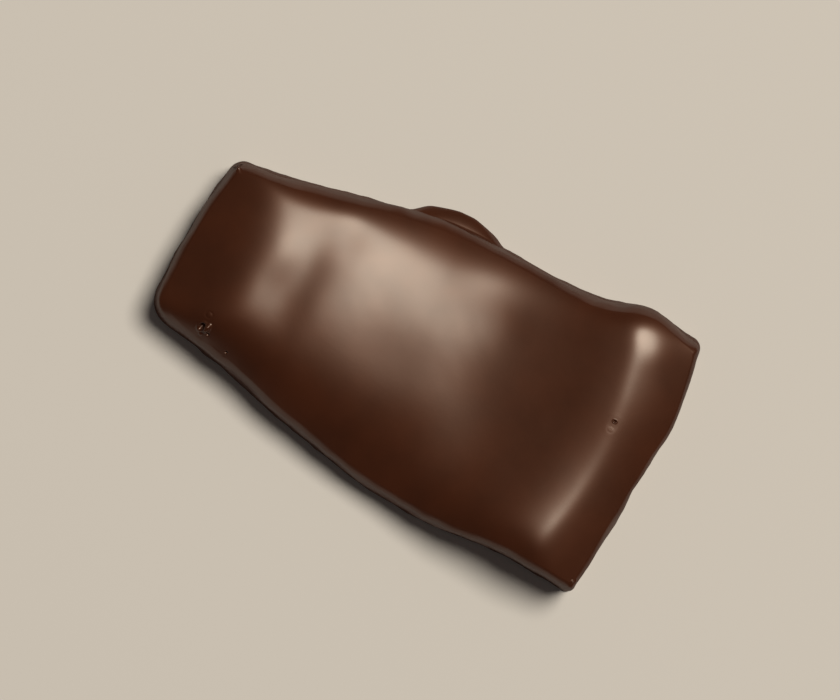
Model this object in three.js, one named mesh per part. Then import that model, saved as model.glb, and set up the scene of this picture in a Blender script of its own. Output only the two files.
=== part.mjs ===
// An orangette: one tapered strip of candied orange peel, coated all over in dark chocolate.
//
// Units are millimetres. +X runs along the piece, from its narrow end to its wide end. +Y runs
// across it, towards the side where a drop of coating has pooled. +Z is up. The underside is flat,
// as it set on a tray, and lies at z = 0.
//
// The coat has no opening and nothing of the peel shows, so the piece is one solid. Seen from
// above it is a wedge with four sides. Each side is a steep wall over the foot with a bevel above
// it, and the top is a low dome with a furrow near the narrow end and a lip at the wide end. The
// surface is the softly rounded lower envelope of the top, the four bevels and the four walls.

import * as THREE from "three";
import { LoftGeometry } from "three/addons/geometries/LoftGeometry.js";
import { ParametricGeometry } from "three/addons/geometries/ParametricGeometry.js";
import { mergeGeometries, mergeVertices } from "three/addons/utils/BufferGeometryUtils.js";

// ---- Driving dimensions ----

// The foot's outline: the crossing points of its four sides, and how far each corner is rounded.
const SOUTH_WEST = { x: -24.6, y: -8.7, round: 3.4 };
const SOUTH_EAST = { x: 23.9, y: -13.1, round: 0.9 };
const NORTH_EAST = { x: 23.6, y: 13.8, round: 1.0 };
const NORTH_WEST = { x: -23.6, y: 8.2, round: 1.4 };

// The coat spreads a little where it meets the tray: a thin foot that flares out of the walls.
const FOOT = { spread: 0.22, top: 1.0, rimHeight: 0.2, undercut: 0.12, fullness: 1.3 };

// The pooled drop that runs out from under the north side, as thick as the foot.
const LOBE = { at: -2.1, halfLength: 4.7, out: 1.3 };

// Each side runs counter-clockwise from its first corner. `swells` push its line outwards by `out`
// around `at`. Its bevel starts `rise` above the foot, and higher by `twist` for each millimetre
// along the side, and climbs inwards by `slope`. Over the outer `edge` it falls to the foot as a
// steep wall. `crest`, from the side's `middle` to its `ends`, rounds the top into the bevel.
const SOUTH = {
  from: SOUTH_WEST,
  to: SOUTH_EAST,
  along: "x",
  across: "y",
  outward: -1,
  swells: [
    { at: 1.5, out: 2.3, reach: 12.0 },
    { at: 10.0, out: 0.35, reach: 4.0 },
    { at: -10.0, out: 0.4, reach: 4.0 },
  ],
  edge: 0.8,
  rise: 6.15,
  twist: 0.108,
  slope: 1.36,
  crest: { middle: 3.42, ends: 0.2 },
};
const EAST = {
  from: SOUTH_EAST,
  to: NORTH_EAST,
  along: "y",
  across: "x",
  outward: 1,
  swells: [
    { at: -3.0, out: 0.75, reach: 8.0 },
    { at: 6.3, out: 1.25, reach: 5.5 },
  ],
  edge: 0.5,
  rise: 6.82,
  twist: -0.035,
  slope: 0.728,
  crest: { middle: 0.99, ends: 0.2 },
};
const NORTH = {
  from: NORTH_EAST,
  to: NORTH_WEST,
  along: "x",
  across: "y",
  outward: 1,
  swells: [
    { at: -2.5, out: 2.1, reach: 13.0 },
    { at: 18.0, out: 1.5, reach: 3.6 },
  ],
  edge: 0.9,
  rise: 5.75,
  twist: 0.039,
  slope: 1.6,
  crest: { middle: 2.12, ends: 0.5 },
};
const WEST = {
  from: NORTH_WEST,
  to: SOUTH_WEST,
  along: "y",
  across: "x",
  outward: -1,
  swells: [{ at: 1.5, out: 0.6, reach: 6.0 }],
  edge: 0.6,
  rise: 4.61,
  twist: -0.014,
  slope: 0.374,
  crest: { middle: 0.7, ends: 0.6 },
};
const SIDES = [SOUTH, EAST, NORTH, WEST];
const BEFORE = [WEST, SOUTH, EAST, NORTH];

// The top. It slopes down towards the wide end from one soft bend to another, and both bends lie
// along lines that lean by `lean` millimetres of X for each millimetre of Y.
const TOP = { height: 9.05, slope: 0.263, lean: 0.113 };
const UPPER_BEND = { at: -10.93, softness: 0.67 };
const LOWER_BEND = { at: -0.54, softness: 1.14 };

// It crowns across the piece: by `drop` for one half width away from a ridge, which lies at
// `ridge` half widths from the middle and moves by `turn` for each millimetre of X. Towards the
// wide end the crown fades to a share of itself.
const CROWN = {
  drop: 0.558,
  ridge: -1.343,
  turn: -0.0272,
  fadeFrom: -16.0,
  fadeTo: 14.0,
  left: 0.076,
};
const FURROW = { x: -13.82, y: -1.9, lean: -0.283, depth: 1.01, reach: 4.93, halfLength: 11.6 };
const LIP = { x: 20.32, bow: 0.0175, height: 1.73, reach: 6.18 };
const LIP_CREST = { x: 19.98, y: -1.5, bow: 0.0161, height: 0.07, reach: 1.3 };

// Broad uneven places that the coat left on the top as it set.
const TOP_SWELLS = [
  { x: 7.4, y: -7.5, height: -0.86, reach: 7.5 },
  { x: -0.75, y: 2.6, height: 0.64, reach: 5.0 },
  { x: 1.5, y: -5.15, height: 1.02, reach: 6.1 },
  { x: 12.9, y: 4.45, height: 1.09, reach: 11.8 },
  { x: 0.5, y: 10.05, height: 0.43, reach: 4.5 },
  { x: 13.5, y: -11.8, height: 2.12, reach: 8.5 },
  { x: -11.35, y: 7.15, height: -0.27, reach: 2.65 },
  { x: -12.7, y: 3.1, height: -0.34, reach: 3.5 },
  { x: 6.6, y: 6.4, height: -0.07, reach: 2.3 },
  { x: -3.0, y: 7.7, height: 0.29, reach: 4.5 },
  { x: -15.0, y: 2.7, height: 0.37, reach: 3.2 },
  { x: 15.9, y: -8.7, height: -0.3, reach: 4.75 },
  { x: 20.2, y: 10.8, height: 0.09, reach: 1.9 },
];

// The walls' profile is a quarter of an oval, fuller than a circle by `fullness`. Round the corners
// the walls settle onto the foot with the power `settle`.
const WALL = { fullness: 3.0, settle: 3, rings: 7 };

// How finely the surface is divided: segments along each side and round each corner, rings over
// the foot and up the walls, and rings from there over the shoulders to their inner edge, which
// lies a side's depth inside the foot's line.
const SEGMENTS = { long: 40, short: 22, corner: 6 };
const CROWDING = 0.3;
const FOOT_RINGS = { under: 2, over: 3 };
const SHOULDER = { rings: 10, crowding: 1.3, innerRound: 2.0 };
const SHOULDER_DEPTH = new Map([
  [SOUTH, 7.0],
  [EAST, 7.8],
  [NORTH, 5.0],
  [WEST, 9.0],
]);

// How often a ring's corner is stepped towards the crossing of its two sides, and how near two
// points lie that count as one.
const CORNER_STEPS = 6;
const WELD_DISTANCE = 1e-4;

const CHOCOLATE = { color: 0x3a2016, roughness: 0.34, metalness: 0 };

// ---- The form ----

// 1 at a distance of 0, falling smoothly to almost nothing past twice the reach.
function bell(distance, reach) {
  return Math.exp(-((distance / reach) ** 2));
}

// 0 before a bend and the distance past it after the bend, with the bend itself rounded.
function distancePast(place, bend) {
  return bend.softness * Math.log1p(Math.exp((place - bend.at) / bend.softness));
}

// The lower of two heights, with the edge between them rounded.
function softLower(a, b, rounding) {
  return Math.min(a, b) - rounding * Math.log1p(Math.exp(-Math.abs(a - b) / rounding));
}

// A convex rise from 0 to 1, steep at first and level at the end: a quarter of an oval.
function bulge(share, fullness) {
  return (1 - (1 - share) ** fullness) ** (1 / fullness);
}

// Where a side's line lies, across the side, at a place along it.
function sideLine(side, place) {
  const start = side.from[side.along];
  const share = (place - start) / (side.to[side.along] - start);
  const chord = THREE.MathUtils.lerp(side.from[side.across], side.to[side.across], share);
  const swell = side.swells.reduce((sum, s) => sum + s.out * bell(place - s.at, s.reach), 0);
  return chord + side.outward * swell;
}

// How far inside the top edge of the foot a point of the plan lies.
function sideInset(side, point) {
  const line = sideLine(side, point[side.along]);
  return Math.max(side.outward * (line - point[side.across]) - FOOT.spread, 0);
}

// The height of the bevel over a side's wall, over a point.
function bevelFace(side, point) {
  const rise = side.rise + side.twist * point[side.along];
  return FOOT.top + rise + side.slope * sideInset(side, point);
}

// How softly the top turns into a bevel at a point: the middle value, changing towards both ends.
function crestRounding(side, point) {
  const middle = (side.from[side.along] + side.to[side.along]) / 2;
  const half = Math.abs(side.to[side.along] - side.from[side.along]) / 2;
  const outwards = Math.min(Math.abs(point[side.along] - middle) / half, 1) ** 2;
  return THREE.MathUtils.lerp(side.crest.middle, side.crest.ends, outwards);
}

// The height of the top face over a point, as if it ran on past its edges.
function topFace({ x, y }) {
  const north = sideLine(NORTH, x);
  const south = sideLine(SOUTH, x);
  const across = (2 * y - north - south) / (north - south);
  const fromRidge = across - CROWN.ridge - CROWN.turn * x;
  const towardsWide = THREE.MathUtils.smoothstep(x, CROWN.fadeFrom, CROWN.fadeTo);
  const crownDrop = CROWN.drop * THREE.MathUtils.lerp(1, CROWN.left, towardsWide);
  const leaning = x + TOP.lean * y;
  const slopeLength = distancePast(leaning, UPPER_BEND) - distancePast(leaning, LOWER_BEND);
  const fromFurrow = x - FURROW.x - FURROW.lean * y;
  const furrow = bell(fromFurrow, FURROW.reach) * bell(y - FURROW.y, FURROW.halfLength);
  const lipLine = LIP.x - LIP.bow * y * y;
  const crestLine = LIP_CREST.x - LIP_CREST.bow * (y - LIP_CREST.y) ** 2;
  const swells = TOP_SWELLS.reduce(
    (sum, s) => sum + s.height * bell(Math.hypot(x - s.x, y - s.y), s.reach),
    0,
  );
  return (
    TOP.height -
    TOP.slope * slopeLength -
    crownDrop * fromRidge ** 2 -
    FURROW.depth * furrow +
    LIP.height * bell(x - lipLine, LIP.reach) +
    LIP_CREST.height * bell(x - crestLine, LIP_CREST.reach) +
    swells
  );
}

// The height of the coat over a point of the plan.
function coatHeight(point) {
  const overBevels = SIDES.reduce(
    (height, side) => softLower(height, bevelFace(side, point), crestRounding(side, point)),
    topFace(point),
  );
  const walls = SIDES.reduce(
    (share, side) =>
      share * bulge(Math.min(sideInset(side, point) / side.edge, 1), WALL.fullness),
    1,
  );
  return FOOT.top + (overBevels - FOOT.top) * walls;
}

// How far the pooled drop reaches past the foot, at a place along the north side.
function lobeReach(side, place) {
  if (side !== NORTH) return 0;
  return LOBE.out * Math.max(0, 1 - ((place - LOBE.at) / LOBE.halfLength) ** 2);
}

// ---- Rings in plan ----

// The point of a side's line at a place along it, moved inwards by the ring's inset.
function ringPoint(side, place, insetOf) {
  const point = new THREE.Vector2();
  point[side.along] = place;
  point[side.across] = sideLine(side, place) - side.outward * insetOf(side, place);
  return point;
}

// Where two neighbouring sides of a ring cross, found by walking from one to the other.
function ringCorner(before, after, insetOf) {
  let point = new THREE.Vector2(after.from.x, after.from.y);
  for (let step = 0; step < CORNER_STEPS; step += 1) {
    point = ringPoint(before, point[before.along], insetOf);
    point = ringPoint(after, point[after.along], insetOf);
  }
  return point;
}

// An even share of the way along, moved so that points crowd towards both ends.
function crowded(share) {
  return share - (CROWDING * Math.sin(2 * Math.PI * share)) / (2 * Math.PI);
}

// A closed ring, counter-clockwise from the middle of the south-west corner. `inwards` is 0 at the
// foot's line and 1 at the inner edge of the shoulders, where the corners share one rounding.
function planRing(insetOf, inwards = 0) {
  const corners = SIDES.map((side, i) => ringCorner(BEFORE[i], side, insetOf));
  const rounds = SIDES.map((side) =>
    THREE.MathUtils.lerp(side.from.round, SHOULDER.innerRound, inwards),
  );
  const points = [];
  SIDES.forEach((side, i) => {
    const before = BEFORE[i];
    const next = (i + 1) % SIDES.length;
    const step = Math.sign(side.to[side.along] - side.from[side.along]);
    const stepBefore = Math.sign(before.to[before.along] - before.from[before.along]);
    const start = corners[i][side.along] + step * rounds[i];
    const end = corners[next][side.along] - step * rounds[next];
    const leave = corners[i][before.along] - stepBefore * rounds[i];
    const turn = new THREE.QuadraticBezierCurve(
      ringPoint(before, leave, insetOf),
      corners[i],
      ringPoint(side, start, insetOf),
    );
    points.push(...turn.getPoints(SEGMENTS.corner).slice(0, -1));
    const count = side.along === "x" ? SEGMENTS.long : SEGMENTS.short;
    for (let k = 0; k < count; k += 1) {
      points.push(ringPoint(side, THREE.MathUtils.lerp(start, end, crowded(k / count)), insetOf));
    }
  });
  const half = SEGMENTS.corner / 2;
  return [...points.slice(half), ...points.slice(0, half)];
}

// ---- The surface ----

function lift(ring, heightOf) {
  return ring.map((point, i) => new THREE.Vector3(point.x, point.y, heightOf(point, i)));
}

// The foot: from the contact line round its under edge to the rim, and over the rim to the wall.
function footRings() {
  const rings = [];
  for (let k = 0; k <= FOOT_RINGS.under; k += 1) {
    const turn = (Math.PI / 2) * (k / FOOT_RINGS.under);
    const inset = FOOT.undercut * (1 - Math.sin(turn));
    const height = FOOT.rimHeight * (1 - Math.cos(turn));
    rings.push(lift(planRing((side, place) => inset - lobeReach(side, place)), () => height));
  }
  for (let k = 1; k <= FOOT_RINGS.over; k += 1) {
    const share = 1 - Math.cos((Math.PI / 2) * (k / FOOT_RINGS.over));
    const rise = bulge(share, FOOT.fullness);
    const height = THREE.MathUtils.lerp(FOOT.rimHeight, FOOT.top, rise);
    const insetOf = (side, place) =>
      THREE.MathUtils.lerp(-lobeReach(side, place), FOOT.spread, share);
    rings.push(lift(planRing(insetOf), () => height));
  }
  return rings;
}

// The walls, with rings at even shares of their height. Round a corner the foot's outline cuts
// inside the crossing of the side lines, so the rings are settled onto the foot there, and the
// difference fades out upwards.
function wallRings() {
  const wallBase = planRing(() => FOOT.spread);
  const rings = [];
  for (let k = 1; k <= WALL.rings; k += 1) {
    const share = k / WALL.rings;
    const fade = (1 - share) ** WALL.settle;
    const heightOf = (point, i) => coatHeight(point) - fade * (coatHeight(wallBase[i]) - FOOT.top);
    const inwards = 1 - bulge(1 - share, WALL.fullness);
    rings.push(lift(planRing((side) => FOOT.spread + side.edge * inwards), heightOf));
  }
  return rings;
}

// The shoulders, from the top of the walls to the edge of the top patch.
function shoulderRings() {
  const rings = [];
  for (let k = 1; k <= SHOULDER.rings; k += 1) {
    const share = (k / SHOULDER.rings) ** SHOULDER.crowding;
    const insetOf = (side) =>
      THREE.MathUtils.lerp(FOOT.spread + side.edge, SHOULDER_DEPTH.get(side), share);
    rings.push(lift(planRing(insetOf, share), coatHeight));
  }
  return rings;
}

// The top inside the last ring: a patch stretched between its four sides.
function topPatch(edge) {
  const columns = SEGMENTS.long + SEGMENTS.corner;
  const rows = SEGMENTS.short + SEGMENTS.corner;
  const south = (i) => edge[i];
  const east = (j) => edge[columns + j];
  const north = (i) => edge[2 * columns + rows - i];
  const west = (j) => edge[(2 * columns + 2 * rows - j) % edge.length];
  const place = (u, v, target) => {
    const i = Math.round(u * columns);
    const j = Math.round(v * rows);
    target.set(0, 0, 0);
    target.addScaledVector(south(i), 1 - v).addScaledVector(north(i), v);
    target.addScaledVector(west(j), 1 - u).addScaledVector(east(j), u);
    target.addScaledVector(south(0), -(1 - u) * (1 - v)).addScaledVector(east(0), -u * (1 - v));
    target.addScaledVector(west(rows), -(1 - u) * v).addScaledVector(north(columns), -u * v);
    const onEdge = i === 0 || j === 0 || i === columns || j === rows;
    if (!onEdge) target.z = coatHeight(target);
  };
  return new ParametricGeometry(place, columns, rows);
}

function coatGeometry() {
  const rings = [...footRings(), ...wallRings(), ...shoulderRings()];
  const sides = new LoftGeometry(rings, { closed: true, capStart: true, capEnd: false });
  const pieces = [sides, topPatch(rings.at(-1))].map((geometry) => {
    geometry.deleteAttribute("normal");
    geometry.deleteAttribute("uv");
    return geometry;
  });
  const welded = mergeVertices(mergeGeometries(pieces), WELD_DISTANCE);
  welded.computeBoundingBox();
  const middle = welded.boundingBox.getCenter(new THREE.Vector3());
  welded.translate(-middle.x, -middle.y, 0);
  welded.computeVertexNormals();
  return welded;
}

// ---- The object ----

const orangette = new THREE.Group();
const coatedPeel = new THREE.Mesh(coatGeometry(), new THREE.MeshStandardMaterial(CHOCOLATE));
coatedPeel.name = "coated_peel";
orangette.add(coatedPeel);

export default orangette;
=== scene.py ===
"""An orangette: one strip of candied orange peel in a coat of dark chocolate, dressed for rendering.

Shapes are worked out in millimetres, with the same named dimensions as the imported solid: +X runs
from the narrow end to the wide end, +Y across, +Z up, and the flat underside lies at z = 0. They
become metres, and take their place from the frame, when the mesh is made.
"""

import math
from types import SimpleNamespace

import bmesh
import bpy
import numpy as np
from mathutils import Matrix, Vector


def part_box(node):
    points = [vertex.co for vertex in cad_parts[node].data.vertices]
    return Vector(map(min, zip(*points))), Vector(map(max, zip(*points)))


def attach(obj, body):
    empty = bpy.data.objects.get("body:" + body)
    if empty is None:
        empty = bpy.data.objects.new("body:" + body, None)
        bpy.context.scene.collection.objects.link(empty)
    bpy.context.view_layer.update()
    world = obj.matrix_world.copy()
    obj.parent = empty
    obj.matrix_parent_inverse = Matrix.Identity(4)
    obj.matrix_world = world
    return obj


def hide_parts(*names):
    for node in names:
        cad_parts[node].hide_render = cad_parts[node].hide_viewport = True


MM = 0.001

# ---- The form of the coat, in millimetres ----


def corner(x, y, rounding):
    """Where two sides of the foot's outline cross, and how far that corner is rounded."""
    return SimpleNamespace(at=(x, y), round=rounding)


SOUTH_WEST = corner(-24.6, -8.7, 3.4)
SOUTH_EAST = corner(23.9, -13.1, 0.9)
NORTH_EAST = corner(23.6, 13.8, 1.0)
NORTH_WEST = corner(-23.6, 8.2, 1.4)

# The thin foot where the coat spread on the tray, and the drop that pooled out on the north side.
FOOT = SimpleNamespace(spread=0.22, top=1.0, rim_height=0.2, undercut=0.12, fullness=1.3)
LOBE = SimpleNamespace(at=-2.1, half_length=4.7, out=1.3)

# Each side runs counter-clockwise along X (0) or Y (1). Its swells, as (at, out, reach), push its
# line outwards. Its bevel starts `rise` above the foot, higher by `twist` for each mm along the
# side, and climbs inwards by `slope`. Over the outer `edge` it falls to the foot as a steep wall.
# `crest`, from the side's middle to its ends, rounds the top into the bevel. The shoulder rings
# end at `depth`.
SOUTH = SimpleNamespace(
    start=SOUTH_WEST, end=SOUTH_EAST, along=0, across=1, outward=-1,
    swells=[(1.5, 2.3, 12.0), (10.0, 0.35, 4.0), (-10.0, 0.4, 4.0)],
    edge=0.8, rise=6.15, twist=0.108, slope=1.36, crest=(3.42, 0.2), depth=7.0,
)
EAST = SimpleNamespace(
    start=SOUTH_EAST, end=NORTH_EAST, along=1, across=0, outward=1,
    swells=[(-3.0, 0.75, 8.0), (6.3, 1.25, 5.5)],
    edge=0.5, rise=6.82, twist=-0.035, slope=0.728, crest=(0.99, 0.2), depth=7.8,
)
NORTH = SimpleNamespace(
    start=NORTH_EAST, end=NORTH_WEST, along=0, across=1, outward=1,
    swells=[(-2.5, 2.1, 13.0), (18.0, 1.5, 3.6)],
    edge=0.9, rise=5.75, twist=0.039, slope=1.6, crest=(2.12, 0.5), depth=5.0,
)
WEST = SimpleNamespace(
    start=NORTH_WEST, end=SOUTH_WEST, along=1, across=0, outward=-1,
    swells=[(1.5, 0.6, 6.0)],
    edge=0.6, rise=4.61, twist=-0.014, slope=0.374, crest=(0.7, 0.6), depth=9.0,
)
SIDES = [SOUTH, EAST, NORTH, WEST]
BEFORE = [WEST, SOUTH, EAST, NORTH]

# The top: a slope between two soft bends, a crown across that fades towards the wide end, a furrow,
# a lip with a fine crest, and uneven swells, as (x, y, height, reach).
TOP = SimpleNamespace(height=9.05, slope=0.263, lean=0.113)
UPPER_BEND = SimpleNamespace(at=-10.93, softness=0.67)
LOWER_BEND = SimpleNamespace(at=-0.54, softness=1.14)
CROWN = SimpleNamespace(
    drop=0.558, ridge=-1.343, turn=-0.0272, fade_from=-16.0, fade_to=14.0, left=0.076
)
FURROW = SimpleNamespace(x=-13.82, y=-1.9, lean=-0.283, depth=1.01, reach=4.93, half_length=11.6)
LIP = SimpleNamespace(x=20.32, bow=0.0175, height=1.73, reach=6.18)
LIP_CREST = SimpleNamespace(x=19.98, y=-1.5, bow=0.0161, height=0.07, reach=1.3)
TOP_SWELLS = [
    (7.4, -7.5, -0.86, 7.5),
    (-0.75, 2.6, 0.64, 5.0),
    (1.5, -5.15, 1.02, 6.1),
    (12.9, 4.45, 1.09, 11.8),
    (0.5, 10.05, 0.43, 4.5),
    (13.5, -11.8, 2.12, 8.5),
    (-11.35, 7.15, -0.27, 2.65),
    (-12.7, 3.1, -0.34, 3.5),
    (6.6, 6.4, -0.07, 2.3),
    (-3.0, 7.7, 0.29, 4.5),
    (-15.0, 2.7, 0.37, 3.2),
    (15.9, -8.7, -0.3, 4.75),
    (20.2, 10.8, 0.09, 1.9),
]

# How finely the mesh is divided, and how its rings are spread. Round the corners the walls settle
# onto the foot with the power `settle`.
SEGMENTS = SimpleNamespace(long=184, short=84, corner=12)
CROWDING = 0.3
CORNER_STEPS = 6
UNDER_RINGS = SimpleNamespace(count=7, inset=4.0, crowding=1.7, lobe_fade=2.5)
FOOT_RINGS = SimpleNamespace(under=5, over=8)
WALL = SimpleNamespace(rings=22, fullness=3.0, settle=3)
SHOULDER = SimpleNamespace(rings=24, crowding=1.3, inner_round=2.0)


def bell(distance, reach):
    """1 at a distance of 0, falling smoothly to almost nothing past twice the reach."""
    return np.exp(-((distance / reach) ** 2))


def blend(a, b, share):
    return a + (b - a) * share


def smooth_step(value, low, high):
    share = np.clip((value - low) / (high - low), 0, 1)
    return share * share * (3 - 2 * share)


def distance_past(place, bend):
    """0 before a bend and the distance past it after the bend, with the bend itself rounded."""
    return bend.softness * np.logaddexp(0, (place - bend.at) / bend.softness)


def soft_lower(a, b, rounding):
    """The lower of two heights, with the edge between them rounded."""
    return np.minimum(a, b) - rounding * np.log1p(np.exp(-np.abs(a - b) / rounding))


def bulge(share, fullness):
    """A convex rise from 0 to 1, steep at first and level at the end: a quarter of an oval."""
    return (1 - (1 - share) ** fullness) ** (1 / fullness)


def side_line(side, place):
    """Where a side's line lies, across the side, at a place along it."""
    begin, finish = side.start.at, side.end.at
    share = (place - begin[side.along]) / (finish[side.along] - begin[side.along])
    chord = blend(begin[side.across], finish[side.across], share)
    return chord + side.outward * sum(out * bell(place - at, reach) for at, out, reach in side.swells)


def side_inset(side, points):
    """How far inside the top edge of the foot the points of the plan lie."""
    line = side_line(side, points[..., side.along])
    return np.maximum(side.outward * (line - points[..., side.across]) - FOOT.spread, 0)


def bevel_face(side, points):
    """The height of the bevel over a side's wall."""
    rise = side.rise + side.twist * points[..., side.along]
    return FOOT.top + rise + side.slope * side_inset(side, points)


def crest_rounding(side, points):
    """How softly the top turns into a bevel: the middle value, changing towards both ends."""
    begin, finish = side.start.at[side.along], side.end.at[side.along]
    outwards = np.abs(points[..., side.along] - (begin + finish) / 2) / (abs(finish - begin) / 2)
    return blend(side.crest[0], side.crest[1], np.minimum(outwards, 1) ** 2)


def top_face(points):
    """The height of the top face over points of the plan, as if it ran on past its edges."""
    x, y = points[..., 0], points[..., 1]
    north, south = side_line(NORTH, x), side_line(SOUTH, x)
    across = (2 * y - north - south) / (north - south)
    from_ridge = across - CROWN.ridge - CROWN.turn * x
    crown_drop = CROWN.drop * blend(1, CROWN.left, smooth_step(x, CROWN.fade_from, CROWN.fade_to))
    leaning = x + TOP.lean * y
    slope_length = distance_past(leaning, UPPER_BEND) - distance_past(leaning, LOWER_BEND)
    from_furrow = x - FURROW.x - FURROW.lean * y
    furrow = bell(from_furrow, FURROW.reach) * bell(y - FURROW.y, FURROW.half_length)
    lip_line = LIP.x - LIP.bow * y * y
    crest_line = LIP_CREST.x - LIP_CREST.bow * (y - LIP_CREST.y) ** 2
    swells = sum(h * bell(np.hypot(x - at_x, y - at_y), r) for at_x, at_y, h, r in TOP_SWELLS)
    return (
        TOP.height
        - TOP.slope * slope_length
        - crown_drop * from_ridge**2
        - FURROW.depth * furrow
        + LIP.height * bell(x - lip_line, LIP.reach)
        + LIP_CREST.height * bell(x - crest_line, LIP_CREST.reach)
        + swells
    )


def coat_height(points):
    """The height of the coat over points of the plan."""
    height = top_face(points)
    for side in SIDES:
        height = soft_lower(height, bevel_face(side, points), crest_rounding(side, points))
    for side in SIDES:
        wall = bulge(np.minimum(side_inset(side, points) / side.edge, 1), WALL.fullness)
        height = FOOT.top + (height - FOOT.top) * wall
    return height


def lobe_reach(side, place):
    """How far the pooled drop reaches past the foot, at a place along the north side."""
    if side is not NORTH:
        return np.zeros_like(place)
    return LOBE.out * np.maximum(0, 1 - ((place - LOBE.at) / LOBE.half_length) ** 2)


# ---- Rings in plan ----


def ring_point(side, place, inset_of):
    """The points of a side's line at places along it, moved inwards by the ring's inset."""
    place = np.asarray(place, float)
    point = np.empty(place.shape + (2,))
    point[..., side.along] = place
    point[..., side.across] = side_line(side, place) - side.outward * inset_of(side, place)
    return point


def ring_corner(before, after, inset_of):
    """Where two neighbouring sides of a ring cross, found by walking from one to the other."""
    point = np.array(after.start.at, float)
    for _ in range(CORNER_STEPS):
        point = ring_point(before, point[before.along], inset_of)
        point = ring_point(after, point[after.along], inset_of)
    return point


def crowded(share):
    """An even share of the way along, moved so that points crowd towards both ends."""
    return share - CROWDING * np.sin(2 * np.pi * share) / (2 * np.pi)


def plan_ring(inset_of, inwards=0.0):
    """A closed ring, counter-clockwise from the middle of the south-west corner."""
    corners = [ring_corner(before, side, inset_of) for before, side in zip(BEFORE, SIDES)]
    rounds = [blend(side.start.round, SHOULDER.inner_round, inwards) for side in SIDES]
    stretches = []
    for i, (before, side) in enumerate(zip(BEFORE, SIDES)):
        after = (i + 1) % len(SIDES)
        step = np.sign(side.end.at[side.along] - side.start.at[side.along])
        step_before = np.sign(before.end.at[before.along] - before.start.at[before.along])
        start = corners[i][side.along] + step * rounds[i]
        end = corners[after][side.along] - step * rounds[after]
        leave = corners[i][before.along] - step_before * rounds[i]
        turn = (np.arange(SEGMENTS.corner) / SEGMENTS.corner)[:, None]
        stretches.append(
            (1 - turn) ** 2 * ring_point(before, leave, inset_of)
            + 2 * turn * (1 - turn) * corners[i]
            + turn**2 * ring_point(side, start, inset_of)
        )
        count = SEGMENTS.long if side.along == 0 else SEGMENTS.short
        places = blend(start, end, crowded(np.arange(count) / count))
        stretches.append(ring_point(side, places, inset_of))
    return np.roll(np.concatenate(stretches), -SEGMENTS.corner // 2, axis=0)


def lift(ring, height):
    return np.column_stack([ring, np.broadcast_to(height, len(ring))])


def under_rings():
    """The border of the underside, from the edge of its middle out to the contact line."""
    rings = []
    for k in range(UNDER_RINGS.count, 0, -1):
        inset = FOOT.undercut + UNDER_RINGS.inset * (k / UNDER_RINGS.count) ** UNDER_RINGS.crowding
        lobe_left = max(0.0, 1 - inset / UNDER_RINGS.lobe_fade)
        ring = plan_ring(lambda side, place: inset - lobe_left * lobe_reach(side, place))
        rings.append(lift(ring, 0.0))
    return rings


def foot_rings():
    """The foot: from the contact line round its under edge to the rim, and over it to the wall."""
    rings = []
    for k in range(FOOT_RINGS.under + 1):
        turn = (math.pi / 2) * k / FOOT_RINGS.under
        inset = FOOT.undercut * (1 - math.sin(turn))
        ring = plan_ring(lambda side, place: inset - lobe_reach(side, place))
        rings.append(lift(ring, FOOT.rim_height * (1 - math.cos(turn))))
    for k in range(1, FOOT_RINGS.over + 1):
        share = 1 - math.cos((math.pi / 2) * k / FOOT_RINGS.over)
        rise = bulge(share, FOOT.fullness)
        ring = plan_ring(lambda side, place: blend(-lobe_reach(side, place), FOOT.spread, share))
        rings.append(lift(ring, blend(FOOT.rim_height, FOOT.top, rise)))
    return rings


def wall_rings():
    """The walls, ringed at even heights. Round the corners they are settled onto the foot."""
    base = coat_height(plan_ring(lambda side, place: FOOT.spread))
    rings = []
    for k in range(1, WALL.rings + 1):
        share = k / WALL.rings
        inwards = 1 - bulge(1 - share, WALL.fullness)
        ring = plan_ring(lambda side, place: FOOT.spread + side.edge * inwards)
        rings.append(lift(ring, coat_height(ring) - (1 - share) ** WALL.settle * (base - FOOT.top)))
    return rings


def shoulder_rings():
    """The shoulders, from the top of the walls to the edge of the top patch."""
    rings = []
    for k in range(1, SHOULDER.rings + 1):
        share = (k / SHOULDER.rings) ** SHOULDER.crowding
        ring = plan_ring(
            lambda side, place: blend(FOOT.spread + side.edge, side.depth, share), share
        )
        rings.append(lift(ring, coat_height(ring)))
    return rings


# ---- The mesh ----


def patch(edge, height_of):
    """A grid stretched between the four sides of a closed ring: its inner points, column by column."""
    columns = SEGMENTS.long + SEGMENTS.corner
    rows = SEGMENTS.short + SEGMENTS.corner
    south = edge[: columns + 1, None, :2]
    east = edge[None, columns : columns + rows + 1, :2]
    north = edge[columns + rows : 2 * columns + rows + 1][::-1, None, :2]
    west = np.concatenate([edge[2 * columns + rows :], edge[:1]])[None, ::-1, :2]
    u = np.linspace(0, 1, columns + 1)[:, None, None]
    v = np.linspace(0, 1, rows + 1)[None, :, None]
    plan = (
        south * (1 - v) + north * v + west * (1 - u) + east * u
        - south[:1] * (1 - u) * (1 - v) - south[-1:] * u * (1 - v)
        - north[:1] * (1 - u) * v - north[-1:] * u * v
    )[1:-1, 1:-1]
    return np.concatenate([plan, height_of(plan)[..., None]], axis=-1).reshape(-1, 3)


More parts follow.
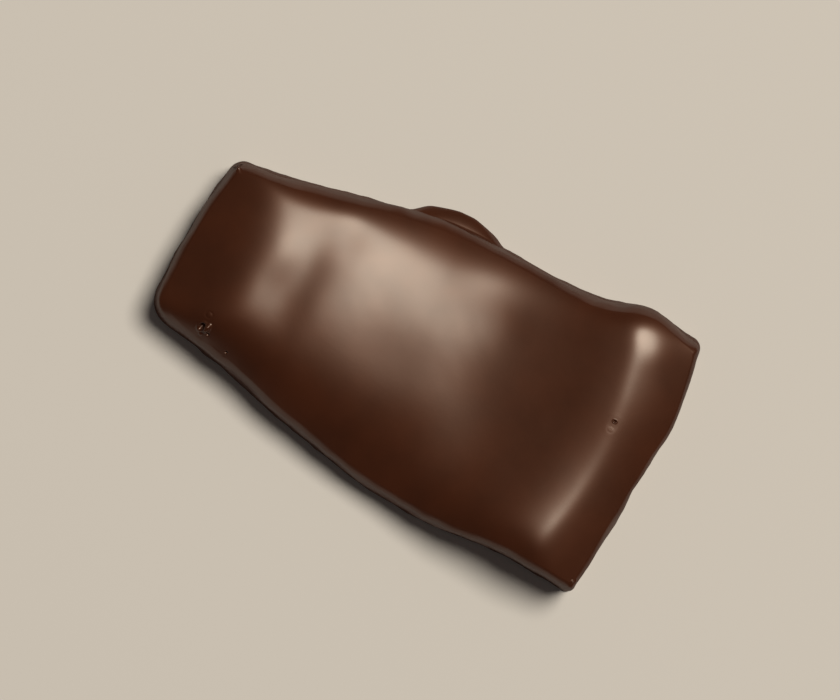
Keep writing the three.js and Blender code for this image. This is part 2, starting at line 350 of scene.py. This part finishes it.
def patch_faces(first_of_edge, first_inside):
    """The quads of a patch, whose border is a ring of the mesh, seen from above."""
    columns = SEGMENTS.long + SEGMENTS.corner
    rows = SEGMENTS.short + SEGMENTS.corner
    around = 2 * (columns + rows)
    grid = np.empty((columns + 1, rows + 1), int)
    grid[1:-1, 1:-1] = first_inside + np.arange((columns - 1) * (rows - 1)).reshape(columns - 1, -1)
    grid[:, 0] = first_of_edge + np.arange(columns + 1)
    grid[-1, :] = first_of_edge + columns + np.arange(rows + 1)
    grid[:, -1] = first_of_edge + columns + rows + np.arange(columns + 1)[::-1]
    grid[0, :] = first_of_edge + (-np.arange(rows + 1)) % around
    corners = [grid[:-1, :-1], grid[1:, :-1], grid[1:, 1:], grid[:-1, 1:]]
    return np.stack(corners, axis=-1).reshape(-1, 4)


def coat_mesh():
    """The whole coat's vertices, in millimetres, and its quads."""
    rings = under_rings() + foot_rings() + wall_rings() + shoulder_rings()
    around = len(rings[0])
    here = np.arange(around)
    beside = (here + 1) % around
    bands = [
        np.stack([here, beside, beside + around, here + around], axis=-1) + k * around
        for k in range(len(rings) - 1)
    ]
    ringed = np.concatenate(rings)
    top = patch(rings[-1], coat_height)
    underside = patch(rings[0], lambda plan: np.zeros(plan.shape[:-1]))
    top_faces = patch_faces((len(rings) - 1) * around, len(ringed))
    under_faces = patch_faces(0, len(ringed) + len(top))[:, ::-1]
    return np.concatenate([ringed, top, underside]), np.concatenate([*bands, top_faces, under_faces])


# ---- Small marks ----


def mark(x, y, length, width, height, rim=0.0, turn=0.0):
    """A bump of the skin, or a dent where its height is below 0, by half its length and width.

    Its rim is the height of a ring round it, and its turn is in degrees.
    """
    return SimpleNamespace(
        at=np.array((x, y)), length=length, width=width, height=height, rim=rim, turn=math.radians(turn)
    )


# Marks close together share one finely divided spot, as (x, y, reach). Each level of division
# halves the faces, and reaches further by `SPOT_MARGIN` of the spot than the next.
MARKED_SPOTS = [
    (-18.6, -7.0, 1.35),
    (-15.8, -8.4, 0.35),
    (19.5, 3.0, 0.9),
    (-23.1, 7.5, 0.4),
    (23.2, -11.8, 0.4),
]
FINER_LEVELS = 3
SPOT_MARGIN = 0.1
MARKS = [
    # A burst bubble near the narrow end: its pit, a fold of its film, a second pit and a lump.
    mark(-19.0, -7.3, 0.42, 0.34, -0.42, rim=0.06, turn=70),
    mark(-18.46, -7.2, 0.6, 0.42, 0.4, turn=79),
    mark(-18.12, -7.72, 0.2, 0.17, -0.2),
    mark(-18.8, -8.0, 0.26, 0.2, 0.09),
    # A small sunken bubble beside it.
    mark(-18.9, -6.02, 0.3, 0.27, 0.02, rim=-0.02),
    # A pinhole further along the south side.
    mark(-15.82, -8.38, 0.2, 0.15, -0.2),
    # A pinhole on the lip, the bump beside it and the shallow dip round both.
    mark(19.5, 3.4, 0.17, 0.15, -0.2, rim=0.05),
    mark(19.5, 2.55, 0.4, 0.32, 0.008),
    mark(19.5, 2.9, 0.9, 0.6, -0.015, turn=90),
    # Blisters on the north-west and south-east tips.
    mark(-23.15, 7.5, 0.22, 0.2, 0.07),
    mark(23.25, -11.8, 0.24, 0.18, 0.09, turn=60),
]
# Where a mark's rim and its flat middle lie, as shares of the way to its edge.
MARK_RIM = SimpleNamespace(at=1.15, reach=0.3)
FLAT_OF_MARK = 0.25


def mark_reach(each, points):
    """How far points of the plan lie from the middle of a mark, where 1 is its edge."""
    offset = points[..., :2] - each.at
    along = offset[..., 0] * math.cos(each.turn) + offset[..., 1] * math.sin(each.turn)
    across = offset[..., 1] * math.cos(each.turn) - offset[..., 0] * math.sin(each.turn)
    return np.hypot(along / each.length, across / each.width)


def marks_relief(points):
    """How high all the marks together stand over points of the plan."""
    relief = np.zeros(points.shape[:-1])
    for each in MARKS:
        reach = mark_reach(each, points)
        relief += each.height * (1 - smooth_step(reach, FLAT_OF_MARK, 1))
        relief += each.rim * bell(reach - MARK_RIM.at, MARK_RIM.reach)
    return relief


def refine(vertices, faces):
    """The mesh with much smaller faces round the marked spots, laid on the form of the coat."""
    mesh = bpy.data.meshes.new("divided")
    mesh.from_pydata(vertices, [], faces.tolist())
    shape = bmesh.new()
    shape.from_mesh(mesh)
    for x, y, reach in MARKED_SPOTS:
        for level in range(FINER_LEVELS):
            limit = reach * (1 + SPOT_MARGIN * (FINER_LEVELS - level))
            inside = [
                vertex for vertex in shape.verts
                if vertex.co.z > FOOT.top and math.hypot(vertex.co.x - x, vertex.co.y - y) < limit
            ]
            within = set(inside)
            edges = dict.fromkeys(
                edge for vertex in inside for edge in vertex.link_edges if within.issuperset(edge.verts)
            )
            bmesh.ops.subdivide_edges(shape, edges=list(edges), cuts=1, use_grid_fill=True)
    shape.verts.index_update()
    points = np.array([vertex.co for vertex in shape.verts])
    added = np.arange(len(points)) >= len(vertices)
    points[added, 2] = coat_height(points[added])
    finer_faces = [[vertex.index for vertex in face.verts] for face in shape.faces]
    shape.free()
    bpy.data.meshes.remove(mesh)
    return points, finer_faces


# ---- The skin ----


# Soft unevenness of the set coat, as (height, wavelength, seed): over all of it, and sideways where
# it is steep, down to the ragged edge of the foot.
TOP_UNEVENNESS = [(0.005, 8.0, 11), (0.0006, 2.2, 12)]
WALL_UNEVENNESS = [(0.09, 6.5, 21), (0.045, 2.6, 22), (0.012, 0.9, 23)]
WAVES = 24
WAVELENGTH_RANGE = (0.7, 1.5)

# How high the marks start, and how far the skin leans where it starts to count as steep.
TOP_FROM = 2.0
STEEP_FROM = 0.55


def uneven(points, wavelength, seed):
    """A smooth random field of height about 1: plane waves in seeded directions."""
    draw = np.random.default_rng(seed)
    directions = draw.normal(size=(WAVES, 3))
    directions /= np.linalg.norm(directions, axis=1)[:, None]
    lengths = wavelength * draw.uniform(*WAVELENGTH_RANGE, WAVES)
    phases = draw.uniform(0, 2 * np.pi, WAVES)
    return np.sin(points @ (2 * np.pi * directions / lengths[:, None]).T + phases).sum(1) / WAVES**0.5


def unevenness(points, layers):
    return sum(height * uneven(points, wavelength, seed) for height, wavelength, seed in layers)


def roughen(vertices, normals):
    """The vertices with the coat's unevenness: marks and a little relief on top, more in the walls."""
    above_foot = smooth_step(vertices[:, 2], 0.0, FOOT.top)
    on_top = vertices[:, 2] > TOP_FROM
    relief = above_foot * unevenness(vertices, TOP_UNEVENNESS) + on_top * marks_relief(vertices)
    steep = smooth_step(np.hypot(normals[:, 0], normals[:, 1]), STEEP_FROM, 1.0)
    sideways = steep * unevenness(vertices, WALL_UNEVENNESS)
    moved = vertices + normals * relief[:, None]
    moved[:, :2] += normals[:, :2] * sideways[:, None]
    return moved


def make_coat():
    """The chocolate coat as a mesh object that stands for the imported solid."""
    vertices, faces = refine(*coat_mesh())
    mesh = bpy.data.meshes.new("chocolate_coat")
    mesh.from_pydata(vertices * MM, [], faces)
    mesh.update()
    normals = np.zeros(len(vertices) * 3, np.float32)
    mesh.vertices.foreach_get("normal", normals)
    moved = roughen(vertices, normals.reshape(-1, 3))

    low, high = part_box("coated_peel")
    middle = (vertices[:, :2].min(0) + vertices[:, :2].max(0)) / 2
    moved[:, :2] += np.array((low + high)[:2]) / 2 / MM - middle
    mesh.vertices.foreach_set("co", (moved * MM).astype(np.float32).ravel())
    mesh.shade_smooth()
    mesh.update()
    coat = bpy.data.objects.new("chocolate_coat", mesh)
    bpy.context.scene.collection.objects.link(coat)
    return coat


# ---- Materials ----


# The coat's colour and shine. The noises are as (scale for each metre, detail).
BROWNS = [(0.35, (0.039, 0.0090, 0.0030, 1)), (0.65, (0.051, 0.0118, 0.0040, 1))]
MOTTLE = (180.0, 3.0)
SATIN = (420.0, 4.0)
GRAIN = (2600.0, 2.0)
SATIN_ROUGHNESS = (0.36, 0.46)
SKIN_IOR = 1.5
SKIN_SHINE = 0.44
SKIN_TINT = (1.0, 0.49, 0.33, 1.0)
SHEEN_WEIGHT = 0.09
SHEEN_ROUGHNESS = 0.26
SHEEN_IOR = 3.0
GRAIN_STRENGTH = 0.12
GRAIN_DEPTH = 0.02

# The skin is duller where it turns away from straight up: how much is added to its roughness, from
# the lower to the higher upward share of its normal.
DULLED_UPWARD = (-0.3, 0.75)
DULLED_ROUGHNESS = (0.6, 0.0)

FLOOR_COLOUR = (0.70, 0.635, 0.63, 1)
FLOOR_ROUGHNESS = 0.75


def new_material(name):
    material = bpy.data.materials.new(name)
    material.use_nodes = True
    nodes = material.node_tree.nodes
    return material, nodes, material.node_tree.links, nodes["Principled BSDF"]


def noise(nodes, links, place, scale, detail):
    """A noise over the object's own coordinates."""
    texture = nodes.new("ShaderNodeTexNoise")
    texture.inputs["Scale"].default_value = scale
    texture.inputs["Detail"].default_value = detail
    links.new(place.outputs["Object"], texture.inputs["Vector"])
    return texture.outputs["Fac"]


def spread_over(nodes, links, value, low, high, source=(0.0, 1.0)):
    """A value moved from its source range to the range from low to high."""
    ranged = nodes.new("ShaderNodeMapRange")
    ranged.inputs["From Min"].default_value = source[0]
    ranged.inputs["From Max"].default_value = source[1]
    ranged.inputs["To Min"].default_value = low
    ranged.inputs["To Max"].default_value = high
    links.new(value, ranged.inputs["Value"])
    return ranged.outputs["Result"]


def chocolate():
    """Satin dark chocolate: a broad brown sheen from its body under the clearer shine of its skin."""
    material, nodes, links, shader = new_material("dark_chocolate")
    shader.inputs["IOR"].default_value = SKIN_IOR
    shader.inputs["Specular IOR Level"].default_value = SKIN_SHINE
    shader.inputs["Specular Tint"].default_value = SKIN_TINT
    shader.inputs["Coat Weight"].default_value = SHEEN_WEIGHT
    shader.inputs["Coat Roughness"].default_value = SHEEN_ROUGHNESS
    shader.inputs["Coat IOR"].default_value = SHEEN_IOR

    place = nodes.new("ShaderNodeTexCoord")
    colour = nodes.new("ShaderNodeValToRGB")
    for stop, (position, brown) in zip(colour.color_ramp.elements, BROWNS):
        stop.position = position
        stop.color = brown
    links.new(noise(nodes, links, place, *MOTTLE), colour.inputs["Fac"])
    links.new(colour.outputs["Color"], shader.inputs["Base Color"])

    gloss = spread_over(nodes, links, noise(nodes, links, place, *SATIN), *SATIN_ROUGHNESS)
    facing = nodes.new("ShaderNodeNewGeometry")
    upward = nodes.new("ShaderNodeSeparateXYZ")
    links.new(facing.outputs["Normal"], upward.inputs["Vector"])
    dulled = spread_over(nodes, links, upward.outputs["Z"], *DULLED_ROUGHNESS, source=DULLED_UPWARD)
    roughness = nodes.new("ShaderNodeMath")
    roughness.operation = "ADD"
    links.new(gloss, roughness.inputs[0])
    links.new(dulled, roughness.inputs[1])
    links.new(roughness.outputs["Value"], shader.inputs["Roughness"])

    bump = nodes.new("ShaderNodeBump")
    bump.inputs["Strength"].default_value = GRAIN_STRENGTH
    bump.inputs["Distance"].default_value = GRAIN_DEPTH * MM
    links.new(noise(nodes, links, place, *GRAIN), bump.inputs["Height"])
    links.new(bump.outputs["Normal"], shader.inputs["Normal"])
    return material


def floor_paint():
    material, _, _, shader = new_material("pale_floor")
    shader.inputs["Base Color"].default_value = FLOOR_COLOUR
    shader.inputs["Roughness"].default_value = FLOOR_ROUGHNESS
    return material


# ---- The set ----

# The camera looks down from almost straight above. In millimetres, these are its place beside the
# piece's middle, along the picture's right and up, its height, and the height that it aims at. The
# piece is turned in the picture by PIECE_TURN.
CAMERA_RIGHT = -14.0
CAMERA_UP = 2.25
CAMERA_HEIGHT = 525.0
AIM_HEIGHT = 4.0
PIECE_TURN = math.radians(28.5)
LENS = 235.0
CLIP_NEAR = 0.01
CLIP_FAR = 10.0

# A round soft light, tilted away from straight above, and a faint warm light from all round. The
# light's distance and the floor's size are in metres.
KEY_TILT = math.radians(24.0)
KEY_TOWARDS = Vector((0.446, 0.895, 0)).normalized()
KEY_DISTANCE = 2.0
KEY_HALF_ANGLE = math.radians(11.5)
KEY_POWER = 35.0
KEY_COLOUR = (1.0, 0.98, 0.82)
WORLD_COLOUR = (1.0, 0.93, 0.84, 1)
WORLD_STRENGTH = 0.06
FLOOR_SIZE = 6.0


def make_camera():
    camera = bpy.data.cameras.new("camera")
    camera.lens = LENS
    camera.clip_start = CLIP_NEAR
    camera.clip_end = CLIP_FAR
    holder = bpy.data.objects.new("camera", camera)
    bpy.context.scene.collection.objects.link(holder)
    turn = Matrix.Rotation(PIECE_TURN, 3, "Z")
    holder.location = turn @ Vector((CAMERA_RIGHT, CAMERA_UP, CAMERA_HEIGHT)) * MM
    forward = (Vector((0, 0, AIM_HEIGHT)) * MM - holder.location).normalized()
    right = forward.cross(turn @ Vector((0, 1, 0))).normalized()
    up = right.cross(forward)
    holder.rotation_euler = Matrix((right, up, -forward)).transposed().to_euler()
    bpy.context.scene.camera = holder


def make_key_light():
    light = bpy.data.lights.new("key", "AREA")
    light.shape = "DISK"
    light.size = 2 * KEY_DISTANCE * math.tan(KEY_HALF_ANGLE)
    light.energy = KEY_POWER
    light.color = KEY_COLOUR
    holder = bpy.data.objects.new("key", light)
    bpy.context.scene.collection.objects.link(holder)
    direction = KEY_TOWARDS * math.sin(KEY_TILT) + Vector((0, 0, math.cos(KEY_TILT)))
    holder.location = direction * KEY_DISTANCE
    holder.rotation_euler = direction.to_track_quat("Z", "Y").to_euler()


def make_world():
    world = bpy.data.worlds.new("soft_room")
    world.use_nodes = True
    backdrop = world.node_tree.nodes["Background"]
    backdrop.inputs["Color"].default_value = WORLD_COLOUR
    backdrop.inputs["Strength"].default_value = WORLD_STRENGTH
    bpy.context.scene.world = world


def make_floor():
    half = FLOOR_SIZE / 2
    mesh = bpy.data.meshes.new("floor")
    square = [(-half, -half, 0), (half, -half, 0), (half, half, 0), (-half, half, 0)]
    mesh.from_pydata(square, [], [(0, 1, 2, 3)])
    mesh.materials.append(floor_paint())
    floor = bpy.data.objects.new("floor", mesh)
    bpy.context.scene.collection.objects.link(floor)


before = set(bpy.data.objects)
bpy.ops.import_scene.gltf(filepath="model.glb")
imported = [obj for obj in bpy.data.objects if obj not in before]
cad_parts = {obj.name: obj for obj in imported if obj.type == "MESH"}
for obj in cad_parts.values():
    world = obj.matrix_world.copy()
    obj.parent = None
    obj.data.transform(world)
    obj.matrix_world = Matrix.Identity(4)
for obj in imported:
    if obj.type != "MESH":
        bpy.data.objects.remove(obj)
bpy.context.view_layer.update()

make_camera()
make_key_light()
make_world()
make_floor()
bpy.context.scene.view_settings.view_transform = "Standard"

coat = make_coat()
coat.data.materials.append(chocolate())
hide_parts("coated_peel")
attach(coat, "root")
